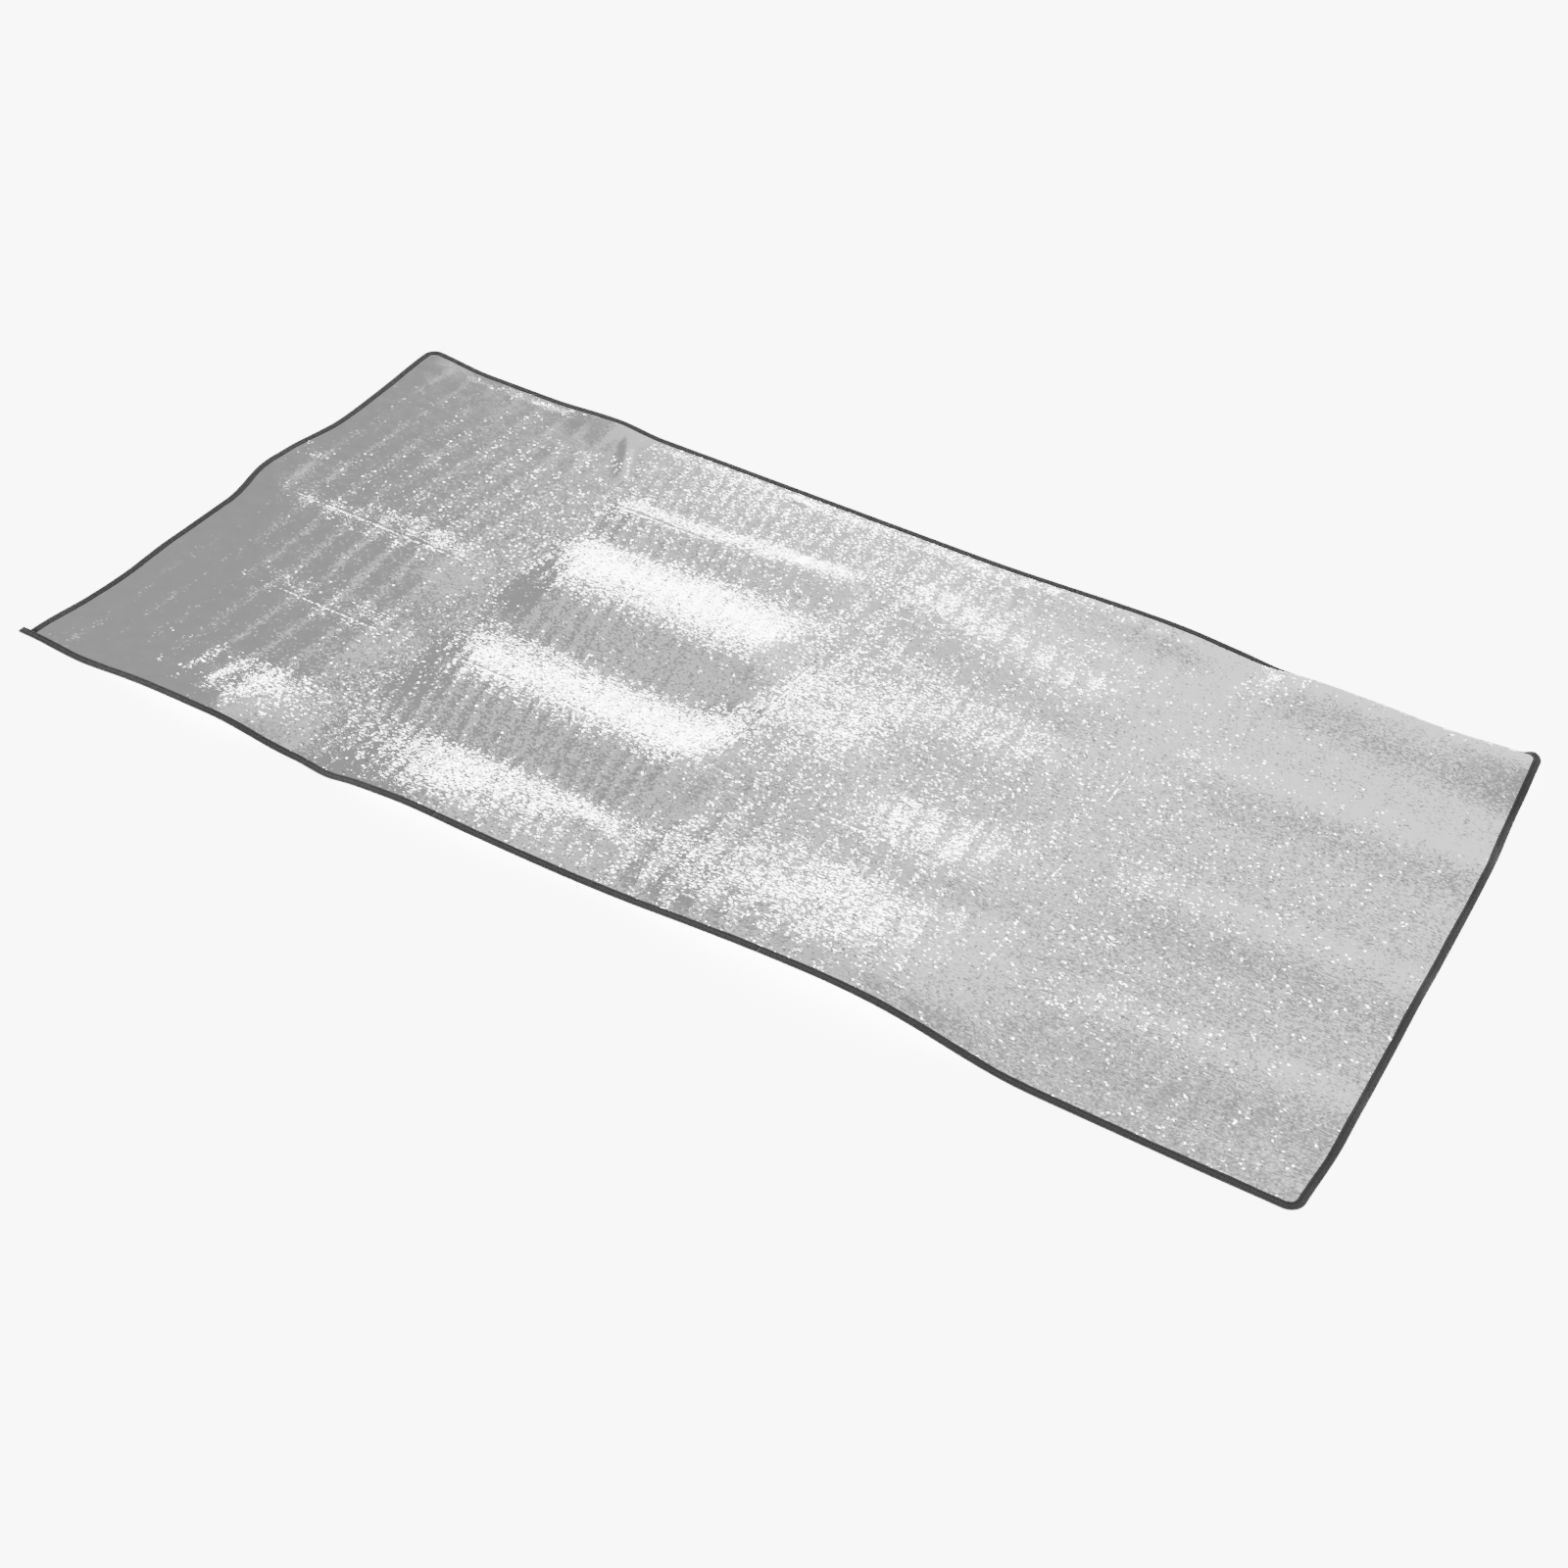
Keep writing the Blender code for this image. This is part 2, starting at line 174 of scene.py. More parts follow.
# ---------------------------------------------------------------- looks
FACET_SIZE = (3.7 * MM, 2.7 * MM)
FACET_SLOPE = (0.10, 0.13)  # full range of the facets' slope in X and in Y
SPARK_SIZE = (3.3 * MM, 2.9 * MM)
SPARK_SLOPE = 0.55  # full range of the slope of the few steep facets
SPARK_RARITY = 3.2
WRINKLE_SIZE = (12.0 * MM, 3.2 * MM)
WRINKLE_HEIGHT = 0.25 * MM
# Where the embossing is calmer: from, to, strength at both ends
CALM_LEFT = (-0.95, -0.40, 0.40, 1.0)  # along X
CALM_FAR = (0.10, 0.45, 1.0, 0.36)  # along Y
CALM_FAR_LEAST = (-0.56, -0.36, 0.3, 0.6)  # along X: the far edge is never calmer than this
# The crushed end of the first fold: place, reach of the full effect and of any, extra strength
CRUSHED = ((-0.50, -0.36, 0.0), 0.05, 0.20, 1.0)
FOIL_TONES = ((0.80, 0.80, 0.805), (0.88, 0.88, 0.885))
FOIL_ROUGHNESS = (0.08, 0.13)
HAZE_SIZE = (30 * MM, 20 * MM)

FOAM_TONES = ((0.90, 0.90, 0.88), (0.78, 0.78, 0.76))
FOAM_CELLS = 900.0  # cells per metre
TAPE_TONES = ((0.016, 0.016, 0.017), (0.032, 0.032, 0.034))
YARN_PITCH = 0.9 * MM
FUZZ_SIZE = (4 * MM, 1.2 * MM)
# thread colour, darker in the grooves of its twist: painted shade
THREAD_GROOVE_SHADE_TONES = ((0.016, 0.016, 0.017), (0.034, 0.034, 0.036))
STRAND_PITCH, STRAND_SLANT = 0.7 * MM, 1.4

# ---------------------------------------------------------------- studio
# Shades of the surroundings along one axis of the direction: from, to, tone at both ends
WORLD_LEFT = (-0.51, -0.42, 0.42, 1.02)  # along X: darker to the left
WORLD_FRONT = (-0.75, -0.25, 0.45, 1.0)  # along Y: darker in front of the pad
# A darker patch high up on the right: where it starts and ends along Z and starts along X, its shade
GAP_FROM_Z, GAP_TO_Z, GAP_FROM_X, GAP_SHADE = (0.71, 0.83), (0.87, 0.95), (-0.38, -0.18), -0.60
# Area lights: azimuth, elevation, distance, width, height, radiance, roll
LIGHTS = {
    "back_panel": (-26.5, 13.2, 8.0, 3.5, 3.3, 14.0, 15),
    "side_panel": (2, 24, 6.0, 4.0, 4.2, 0.6, 0),
    "key_panel": (160, 60, 4.5, 2.5, 2.5, 4.0, 0),
}
FLOOR_REACH, FLOOR_LEVEL = 30.0, -0.2 * MM
FLOOR_TONE, FLOOR_GLOW = 0.85, 8.0
CAMERA_PLACE = (1.281, -2.430, 2.203)
CAMERA_YAW, CAMERA_PITCH, CAMERA_ROLL = -27.52, 40.71, 4.06  # degrees
CAMERA_LENS, CAMERA_SENSOR = 55.08, 36.0  # mm


# ================================================================ relief


def swell(distance, below, above):
    """1 at the crest, 0 from the reach on, smooth between."""
    share = distance / np.where(distance > 0, above, below)
    return 0.5 + 0.5 * np.cos(np.pi * np.clip(share, -1.0, 1.0))


def smooth_step(value, low, high):
    share = np.clip((value - low) / (high - low), 0.0, 1.0)
    return share * share * (3 - 2 * share)


def ridge_height(x, y, start, end, reach_near, reach_far, reach_end, height):
    along = np.maximum(np.maximum(start[0] - x, x - end[0]), 0.0)
    share = np.clip((x - start[0]) / (end[0] - start[0]), 0.0, 1.0)
    crest_y = start[1] + share * (end[1] - start[1])
    return height * swell(along, reach_end, reach_end) * swell(y - crest_y, reach_near, reach_far)


def lift_height(x, y, crest_x, reach_left, reach_right, crest_y, reach_in, reach_out, height):
    inward = (y - crest_y) * (-1 if crest_y > 0 else 1)
    return height * swell(x - crest_x, reach_left, reach_right) * swell(inward, reach_out, reach_in)


def curl_height(x, y, sides, reach, height):
    away = np.hypot(x - sides[0] * HALF_LENGTH, y - sides[1] * HALF_WIDTH)
    return height * swell(away, reach, reach)


def levelled(value, half):
    """The coordinate held about FULL inside the edge, so that the relief is level under the tape."""
    inside = np.cbrt(np.maximum(half - np.abs(value), 0.0) ** 3 + FULL**3)
    return np.sign(value) * np.maximum(half - inside, 0.0)


def large_relief(x, y):
    x, y = levelled(x, HALF_LENGTH), levelled(y, HALF_WIDTH)
    total = sum(ridge_height(x, y, *ridge) for ridge in RIDGES)
    total += sum(lift_height(x, y, *lift) for lift in EDGE_LIFTS)
    return total + sum(curl_height(x, y, *curl) for curl in CORNER_CURLS)


def in_round_corner(x, y, out_x, out_y):
    """Whether a point is past the centre of a corner's arc. The near left corner is square."""
    return (out_x > 0) & (out_y > 0) & ~((x < 0) & (y < 0))


def edge_distance(x, y):
    """How far a point lies inside the layers' outline, with its three rounded corners."""
    inside_x, inside_y = HALF_LENGTH - np.abs(x), HALF_WIDTH - np.abs(y)
    square = np.minimum(inside_x, inside_y)
    out_x, out_y = CORNER_RADIUS - inside_x, CORNER_RADIUS - inside_y
    in_corner = in_round_corner(x, y, out_x, out_y)
    return np.where(in_corner, CORNER_RADIUS - np.hypot(out_x, out_y), square)


def value_noise(x, y, seed):
    """Smooth noise from -1 to 1 with one random value per unit square."""
    size = 128
    table = np.random.default_rng(seed).uniform(-1, 1, (size, size))
    column, row = np.floor(x).astype(int), np.floor(y).astype(int)
    share_x, share_y = x - column, y - row
    share_x, share_y = share_x**2 * (3 - 2 * share_x), share_y**2 * (3 - 2 * share_y)

    def along_row(number):
        first, second = table[column % size, number % size], table[(column + 1) % size, number % size]
        return first * (1 - share_x) + second * share_x

    return along_row(row) * (1 - share_y) + along_row(row + 1) * share_y


def groove(distance, half_width):
    """A rounded V of depth 1 at the middle line."""
    return np.clip(1 - np.abs(distance) / half_width, 0.0, 1.0) ** 1.5


def pucker_height(x, y, start, end, half_width, height):
    """A narrow fold between two points, tallest in its middle."""
    run = np.array(end) - np.array(start)
    length = math.hypot(*run)
    along = ((x - start[0]) * run[0] + (y - start[1]) * run[1]) / length**2
    aside = ((x - start[0]) * run[1] - (y - start[1]) * run[0]) / length
    lengthwise = np.clip(np.sin(np.pi * np.clip(along, 0.0, 1.0)), 0.0, 1.0)
    return height * lengthwise * np.exp(-((aside / half_width) ** 2))


def ribs(x, y):
    """Waves across the pad, steeper on their +X side and uneven in strength."""
    shift, over_y, over_x = RIB_DRIFT
    drift = shift * np.sin(2 * np.pi * (y / over_y + x / over_x))
    total = 0.0
    for from_x, to_x, pitch, slant, height, _, _ in RIBS:
        inside = smooth_step(x, from_x, from_x + RIB_FADE) * (1 - smooth_step(x, to_x - RIB_FADE, to_x))
        phase = 2 * np.pi * ((x + slant * y) / pitch + drift)
        total = total + inside * height * np.cos(phase - 0.5 * np.cos(phase))
    patches = value_noise(x / RIB_PATCH[0] + 5.3, y / RIB_PATCH[1] + 1.9, seed=12)
    return total * (1 - RIB_UNEVENNESS + RIB_UNEVENNESS * patches)


def creases(x, y):
    """The pressed lines of the folded pad."""
    depth, half_width = FOLD_GROOVE
    wander = FOLD_WANDER[0] * value_noise(y / FOLD_WANDER[1], y * 0, seed=41)
    strength = 0.5 + 0.5 * value_noise(y / FOLD_PATCH, y * 0 + 5, seed=42)
    total = -sum(depth * strength * groove(x - fold - wander, half_width) for fold in FOLDS)
    dots = 0.65 + 0.35 * np.sin(2 * np.pi * x / DOT_PITCH)
    dots = dots * (0.6 + 0.4 * value_noise(x / DOT_PATCH, x * 0, seed=43))
    for left_y, right_y, line_depth in LENGTH_CREASES:
        line_y = left_y + (right_y - left_y) * (x + HALF_LENGTH) / LENGTH
        total = total - line_depth * dots * groove(y - line_y, LENGTH_CREASE_REACH)
    return total


def fine_relief(x, y):
    total = ribs(x, y) + creases(x, y)
    for number, (scale_x, scale_y, height) in enumerate(CRUMPLES):
        total = total + height * value_noise(x / scale_x + 40, y / scale_y + 40, seed=20 + number)
    total = total + sum(pucker_height(x, y, *pucker) for pucker in PUCKERS)
    return total * smooth_step(edge_distance(x, y), FINE_FROM, FINE_TO)


def overhang(x, y):
    """How far a point lies past the bend of the far edge: its drop and its shift inward."""
    from_x, to_x, bend_y, rounding, drop, inward = OVERHANG
    fade_left, fade_right = OVERHANG_FADE
    inside = smooth_step(x, from_x - fade_left, from_x) * (1 - smooth_step(x, to_x, to_x + fade_right))
    beyond = inside * (y - bend_y + np.hypot(y - bend_y, rounding)) / 2
    beyond = beyond * smooth_step(y, *OVERHANG_START)
    return drop * beyond, inward * beyond


def underside(x, y):
    """Height of the pad's underside over the ground."""
    return np.maximum(large_relief(x, y) + fine_relief(x, y) - overhang(x, y)[0], 0.0)


def bow(place, knots):
    """The outline's outward shift at a place along an edge, eased between the knots."""
    places, shifts = np.array(knots).T
    after = np.clip(np.searchsorted(places, place), 1, len(places) - 1)
    share = smooth_step(place, places[after - 1], places[after])
    return (shifts[after - 1] + share * (shifts[after] - shifts[after - 1])) * MM


def placed(x, y):
    """Where a point of the straight pad goes in plan, with the bowed outline."""
    left = bow(y, LEFT_BOW) * (1 - smooth_step(x + HALF_LENGTH, 0.0, BOW_REACH))
    right = bow(y, RIGHT_BOW) * (1 - smooth_step(HALF_LENGTH - x, 0.0, BOW_REACH))
    far = bow(x, FAR_BOW) * (1 - smooth_step(HALF_WIDTH - y, 0.0, BOW_REACH))
    near = bow(x, NEAR_BOW) * (1 - smooth_step(y + HALF_WIDTH, 0.0, BOW_REACH))
    return x - left + right, y + far - near - overhang(x, y)[1]


# ================================================================ layers


def lines(low, high, spacing, creases_at, low_edge, high_edge):
    """Grid line positions from low to high: even, and closer at creases and next to the edge."""
    close = [crease + offset * MM for crease in creases_at for offset in CREASE_LINES]
    if low_edge:
        close += [low + inset * MM for inset in EDGE_LINES]
    if high_edge:
        close += [high - inset * MM for inset in EDGE_LINES]
    close = np.array(sorted(value for value in close if low <= value <= high))
    even = np.linspace(low, high, round((high - low) / spacing) + 1)
    if len(close):
        gap = np.abs(even[:, None] - close[None, :]).min(axis=1)
        even = even[gap > spacing * 0.45]
    return np.unique(np.round(np.concatenate([even, close, [low, high]]), 6))


def rounded(x, y):
    """Grid points of three corner squares, spread over a quarter disc each."""
    centre_x = np.sign(x) * (HALF_LENGTH - CORNER_RADIUS)
    centre_y = np.sign(y) * (HALF_WIDTH - CORNER_RADIUS)
    out_x, out_y = np.abs(x) - np.abs(centre_x), np.abs(y) - np.abs(centre_y)
    in_corner = in_round_corner(x, y, out_x, out_y)
    reach = np.where(in_corner, np.hypot(out_x, out_y), 1.0)
    share = np.where(in_corner, np.maximum(out_x, out_y) / reach, 1.0)
    return (
        np.where(in_corner, centre_x + np.sign(x) * out_x * share, x),
        np.where(in_corner, centre_y + np.sign(y) * out_y * share, y),
    )


def new_object(name, points, faces, flat, normals=None):
    """A smooth mesh, with its points' coordinates on the flat sheet and, if given, their normals."""
    mesh = bpy.data.meshes.new(name)
    mesh.from_pydata(points.tolist(), [], faces)
    layer = mesh.uv_layers.new(name="flat")
    corners = np.empty(len(mesh.loops), np.int32)
    mesh.loops.foreach_get("vertex_index", corners)
    layer.data.foreach_set("uv", flat[corners].astype(np.float32).ravel())
    mesh.shade_smooth()
    if normals is not None:
        mesh.normals_split_custom_set_from_vertices(normals.tolist())
    mesh.update()
    obj = bpy.data.objects.new(name, mesh)
    bpy.context.scene.collection.objects.link(obj)
    return obj


def quads(columns, rows, start=0):
    """Faces of a grid of columns x rows points, facing up, where x goes with the column."""
    index = start + np.arange(columns * rows).reshape(columns, rows)
    corners = (index[:-1, :-1], index[1:, :-1], index[1:, 1:], index[:-1, 1:])
    return np.stack([corner.ravel() for corner in corners], axis=1)


def rim_loop(columns, rows):
    """Indices round a grid's border, counterclockwise from above."""
    index = np.arange(columns * rows).reshape(columns, rows)
    return np.concatenate([index[:-1, 0], index[-1, :-1], index[:0:-1, -1], index[0, :0:-1]])


def level_of(kind, side, x, y):
    """A layer's level over the underside: squeezed under the tape, full in the open field."""
    openness = smooth_step(edge_distance(x, y), MARGIN, SQUEEZE_END)
    return ((1 - openness) * SQUEEZED[kind][side] + openness * FIELD[kind][side]) * MM


def surface_normals(x, y, kind, side):
    """Upward normals of a layer's surface, from its height function."""
    step = 0.5 * MM

    def height(px, py):
        return underside(px, py) + level_of(kind, side, px, py)

    slope_x = (height(x + step, y) - height(x - step, y)) / (2 * step)
    slope_y = (height(x, y + step) - height(x, y - step)) / (2 * step)
    normals = np.stack([-slope_x, -slope_y, np.ones_like(x)], axis=-1)
    return normals / np.linalg.norm(normals, axis=-1, keepdims=True)


def make_layer(kind, section, spacing):
    """One closed sheet of a layer between two X positions."""
    edge_x, edge_y = HALF_LENGTH - WALL_CLEARANCE, HALF_WIDTH - WALL_CLEARANCE
    low, high = max(section.low, -edge_x), min(section.high, edge_x)
    crease_ys = [line[0] for line in LENGTH_CREASES] + [line[1] for line in LENGTH_CREASES]
    along = lines(low, high, spacing[0], FOLDS, section.name == "left", section.name == "right")
    across = lines(-edge_y, edge_y, spacing[1], sorted(crease_ys), True, True)
    x, y = (grid.ravel() for grid in np.meshgrid(along, across, indexing="ij"))
    x, y = rounded(x, y)
    base = underside(x, y)
    plan_x, plan_y = placed(x, y)
    layers = [np.stack([plan_x, plan_y, base + level_of(kind, side, x, y)], axis=1) for side in (1, 0)]
    normals = [surface_normals(x, y, kind, 1), -surface_normals(x, y, kind, 0)]
    columns, rows = len(along), len(across)
    top, bottom = quads(columns, rows), quads(columns, rows, columns * rows)[:, ::-1]
    rim = rim_loop(columns, rows)
    following = np.roll(rim, -1)
    wall = np.stack([rim + columns * rows, following + columns * rows, following, rim], axis=1)
    points, faces = np.concatenate(layers), np.concatenate([top, bottom, wall]).tolist()
    flat = np.tile(np.stack([x, y], axis=1), (2, 1))
    return new_object(f"{kind}_{section.name}", points, faces, flat, np.concatenate(normals))


# ================================================================ tape and thread


def outline():
    """Stations round the pad's outer edge, counterclockwise: (x, y) and outward (x, y).
    The near left corner is square: the run starts and ends there."""
    half_x, half_y, radius = LENGTH / 2, WIDTH / 2, CORNER_RADIUS + WALL
    places, normals = [], []

    def straight(start, end, normal):
        count = max(2, round(math.dist(start, end) / TAPE_STEP))
        for share in np.arange(count) / count:
            places.append([start[0] + share * (end[0] - start[0]), start[1] + share * (end[1] - start[1])])
            normals.append(normal)

    def arc(centre, from_angle):
        count = round(radius * math.pi / 2 / ARC_STEP)
        for angle in from_angle + np.arange(count) / count * math.pi / 2:
            normal = [math.cos(angle), math.sin(angle)]
            places.append([centre[0] + radius * normal[0], centre[1] + radius * normal[1]])
            normals.append(normal)

    straight((-half_x - TAIL, -half_y), (half_x - radius, -half_y), [0, -1])
    arc((half_x - radius, -half_y + radius), -math.pi / 2)
    straight((half_x, -half_y + radius), (half_x, half_y - radius), [1, 0])
    arc((half_x - radius, half_y - radius), 0)
    straight((half_x - radius, half_y), (-half_x + radius, half_y), [0, 1])
    arc((-half_x + radius, half_y - radius), math.pi / 2)
    straight((-half_x, half_y - radius), (-half_x, -half_y + FLAP), [-1, 0])
    places.append([-half_x, -half_y + FLAP])
    normals.append([-1, 0])
    return np.array(places), np.array(normals, float)


OUTLINE, OUTWARD = outline()
TRAVEL = np.concatenate([[0], np.cumsum(np.linalg.norm(np.diff(OUTLINE, axis=0), axis=1))])


def at_travel(distance):
    """Place and outward normal at a distance along the outline."""
    place = np.stack([np.interp(distance, TRAVEL, OUTLINE[:, axis]) for axis in (0, 1)], axis=-1)
    normal = np.stack([np.interp(distance, TRAVEL, OUTWARD[:, axis]) for axis in (0, 1)], axis=-1)
    return place, normal / np.linalg.norm(normal, axis=-1, keepdims=True)


# The folded tape's section in millimetres: (inset from the outer edge, level) along its outer face, and
# back along its inner face
TAPE_OUTER = (
    (12.0, 4.25), (11.8, 4.62), (11.0, 4.76), (9.8, 4.74), (8.9, 4.66), (8.0, 4.46), (7.1, 4.68),
    (6.0, 4.84), (4.2, 4.92), (2.6, 4.84), (1.3, 4.50), (0.4, 3.85), (0.0, 2.95), (0.15, 2.05),
    (0.8, 1.35), (2.0, 1.00), (5.0, 0.92), (7.1, 1.00), (8.0, 1.22), (8.9, 1.02), (11.0, 0.92),
    (11.8, 1.02), (12.0, 1.35),
)  # fmt: skip
TAPE_INNER = (
    (11.6, 1.42), (8.0, 1.58), (2.6, 1.42), (1.3, 1.75), (0.8, 2.50), (0.8, 3.20), (1.3, 3.90),
    (2.6, 4.20), (8.0, 4.05), (11.6, 4.20),
)  # fmt: skip


def tube(name, ring_points, uv_points):
    """A closed skin through rings of points: array (stations, ring, 3), capped at both ends."""
    stations, ring = ring_points.shape[:2]
    index = np.arange(stations * ring).reshape(stations, ring)
    turned = np.roll(index, -1, axis=1)
    corners = (index[:-1], index[1:], turned[1:], turned[:-1])
    faces = np.stack([corner.ravel() for corner in corners], axis=1).tolist()
    faces += [index[0].tolist(), index[-1, ::-1].tolist()]
    return new_object(name, ring_points.reshape(-1, 3), faces, uv_points.reshape(-1, 2))


def make_tape(name, start, end):
    """The folded binding tape along one stretch of the outline."""
    inner = (TRAVEL > start + 1 * MM) & (TRAVEL < end - 1 * MM)
    travel = np.concatenate([[start], TRAVEL[inner], [end]])
    place, normal = at_travel(travel)
    section = np.array(TAPE_OUTER + TAPE_INNER) * MM
    inset, level = section[:, 0], section[:, 1]
    flap = np.clip(inset / FLAP, 0.0, 1.0)
    sway = TAPE_SWAY[0] * value_noise(travel / TAPE_SWAY[1], travel * 0, seed=31)[:, None] * flap
    lift = TAPE_LIFT[0] * value_noise(travel / TAPE_LIFT[1], travel * 0 + 9, seed=32)[:, None] * flap
    lift = np.where(level > TAPE_MIDDLE, np.abs(lift), -TAPE_LOWER_SHARE * np.abs(lift))
    reach = inset[None, :] + sway
    x = place[:, None, 0] - normal[:, None, 0] * reach
    y = place[:, None, 1] - normal[:, None, 1] * reach
    z = underside(x, y) + level[None, :] + lift
    around = np.concatenate([[0], np.cumsum(np.linalg.norm(np.diff(section, axis=0), axis=1))])
    uv = np.stack(np.broadcast_arrays(travel[:, None], around[None, :]), axis=-1)
    return tube(name, np.stack([*placed(x, y), z], axis=-1), uv)


def make_thread(name, start, end, top):
    """One thread of the lockstitch: it lies on the tape and dips through it at every hole."""
    count = max(1, round((end - start) / STITCH))
    phase = np.linspace(0, count, count * STITCH_STEPS + 1)
    travel = start + (end - start) * phase / count
    place, normal = at_travel(travel)
    middle = place - normal * SEAM_OFFSET
    arch = np.abs(np.sin(np.pi * phase)) ** 0.45
    middle_level, sign = (NEEDLE_LEVEL, 1) if top else (BOBBIN_LEVEL, -1)
    level = middle_level + sign * (arch - 0.62) * STITCH_DIP
    height = underside(*middle.T) + level
    lean = STITCH_LEAN * np.sin(2 * np.pi * phase)
    angle = np.arange(STITCH_SIDES) / STITCH_SIDES * 2 * np.pi
    sideways = STITCH_RADIUS * np.cos(angle)[None, :] + lean[:, None]
    x = middle[:, None, 0] - normal[:, None, 0] * sideways
    y = middle[:, None, 1] - normal[:, None, 1] * sideways
    z = height[:, None] + STITCH_RADIUS * np.sin(angle)[None, :]
    uv = np.stack(np.broadcast_arrays(travel[:, None], angle[None, :] * STITCH_RADIUS), axis=-1)
    return tube(name, np.stack([*placed(x, y), z], axis=-1), uv)


# ================================================================ materials


def link_inputs(tree, node, inputs):
    """Sets each named input to a value, or links it to another node's output."""
    for key, value in inputs.items():
        if isinstance(value, bpy.types.NodeSocket):
            tree.links.new(value, node.inputs[key])
        else:
            node.inputs[key].default_value = value


def add_node(tree, kind, inputs=None, **settings):
    node = tree.nodes.new(kind)
    for key, value in settings.items():
        setattr(node, key, value)
    link_inputs(tree, node, inputs or {})
    return node


def math_node(tree, operation, *values):
    node = tree.nodes.new("ShaderNodeMath")
    node.operation = operation
    link_inputs(tree, node, dict(enumerate(values)))
    return node.outputs[0]


def map_range(tree, value, from_low, from_high, to_low, to_high):
    inputs = {"Value": value, "From Min": from_low, "From Max": from_high}
    inputs.update({"To Min": to_low, "To Max": to_high})
    return add_node(tree, "ShaderNodeMapRange", inputs).outputs["Result"]


def new_material(name):
    """A material, its node tree, its shader, and the coordinates on the flat sheet."""
    material = bpy.data.materials.new(name)
    material.use_nodes = True
    tree = material.node_tree
    flat = add_node(tree, "ShaderNodeUVMap", uv_map="flat").outputs["UV"]
    return material, tree, tree.nodes["Principled BSDF"], flat


def stretched(tree, flat, size, shift):
    """The sheet's coordinates counted in grains of the given size in X and Y."""
    inputs = {"Vector": flat, "Scale": (1 / size[0], 1 / size[1], 1), "Location": (shift, shift, 0)}
    return add_node(tree, "ShaderNodeMapping", inputs).outputs[0]


def stretched_noise(tree, flat, size, detail=1.0, distortion=0.0, shift=0.0):
    """Noise with grains of the given size on the flat sheet."""
    place = stretched(tree, flat, size, shift)
    inputs = {"Vector": place, "Scale": 1.0, "Detail": detail, "Distortion": distortion}
    return add_node(tree, "ShaderNodeTexNoise", inputs, noise_dimensions="2D").outputs["Fac"]


def colour_mix(tree, factor, low, high):
    """A colour from low to high with the factor."""
    factor_socket, low_socket, high_socket, result_socket = 0, 6, 7, 2
    inputs = {factor_socket: factor, low_socket: (*low, 1.0), high_socket: (*high, 1.0)}
    mix = tree.nodes.new("ShaderNodeMix")
    mix.data_type = "RGBA"
    link_inputs(tree, mix, inputs)
    return mix.outputs[result_socket]


def cell_colour(tree, flat, size, shift):
    """One random colour for each small cell of the sheet."""
    inputs = {"Vector": stretched(tree, flat, size, shift), "Scale": 1.0}
    return add_node(tree, "ShaderNodeTexVoronoi", inputs, voronoi_dimensions="2D").outputs["Color"]


def vector_math(tree, operation, *values):
    node = tree.nodes.new("ShaderNodeVectorMath")
    node.operation = operation
    link_inputs(tree, node, dict(enumerate(values)))
    return node.outputs[0]


def vector_scale(tree, vector, factor):
    inputs = {"Vector": vector, "Scale": factor}
    return add_node(tree, "ShaderNodeVectorMath", inputs, operation="SCALE").outputs[0]


def embossing(tree, flat, strength):
    """Tangent-space normal of the embossing: shallow facets everywhere, and a few steep ones."""
    centre = (0.5, 0.5, 0.5)
    facets = vector_math(tree, "SUBTRACT", cell_colour(tree, flat, FACET_SIZE, 3.1), centre)
    tilt = vector_math(tree, "MULTIPLY", facets, (*FACET_SLOPE, 0.0))
    sparks = cell_colour(tree, flat, SPARK_SIZE, 7.7)
    chance = add_node(tree, "ShaderNodeSeparateXYZ", {"Vector": sparks}).outputs["Z"]
    rarity = math_node(tree, "POWER", chance, SPARK_RARITY)
    rarity = vector_scale(tree, (SPARK_SLOPE, SPARK_SLOPE, 0.0), rarity)
    steep = vector_math(tree, "MULTIPLY", vector_math(tree, "SUBTRACT", sparks, centre), rarity)
    tilt = vector_scale(tree, vector_math(tree, "ADD", tilt, steep), strength)
    colour = vector_math(tree, "MULTIPLY_ADD", tilt, (0.5, 0.5, 0.0), (0.5, 0.5, 1.0))
    return add_node(tree, "ShaderNodeNormalMap", {"Color": colour}, uv_map="flat").outputs["Normal"]


def rib_strength(tree, place):
    """The embossing's strength, which goes up and down with the waves that ribs() makes."""
    shift, over_y, over_x = RIB_DRIFT

    def sine_of(*steps):
        """Sine of the turns that the products of the given pairs add up to."""
        turns = [math_node(tree, "MULTIPLY", value, factor * 2 * math.pi) for value, factor in steps]
        total = turns[0]
        for turn in turns[1:]:
            total = math_node(tree, "ADD", total, turn)
        return math_node(tree, "SINE", total)

    drift = sine_of((place["Y"], 1 / over_y), (place["X"], 1 / over_x))
    total = 1.0
    for from_x, to_x, pitch, slant, _, livelier, share in RIBS:
        wave = sine_of((place["X"], 1 / pitch), (place["Y"], slant / pitch), (drift, shift))
        change = map_range(tree, wave, -1.0, 1.0, livelier - share, livelier + share)
        rising = map_range(tree, place["X"], from_x, from_x + RIB_FADE, 0.0, 1.0)
        falling = map_range(tree, place["X"], to_x - RIB_FADE, to_x, 1.0, 0.0)
        inside = math_node(tree, "MULTIPLY", rising, falling)
        total = math_node(tree, "MULTIPLY_ADD", change, inside, total)
    return total


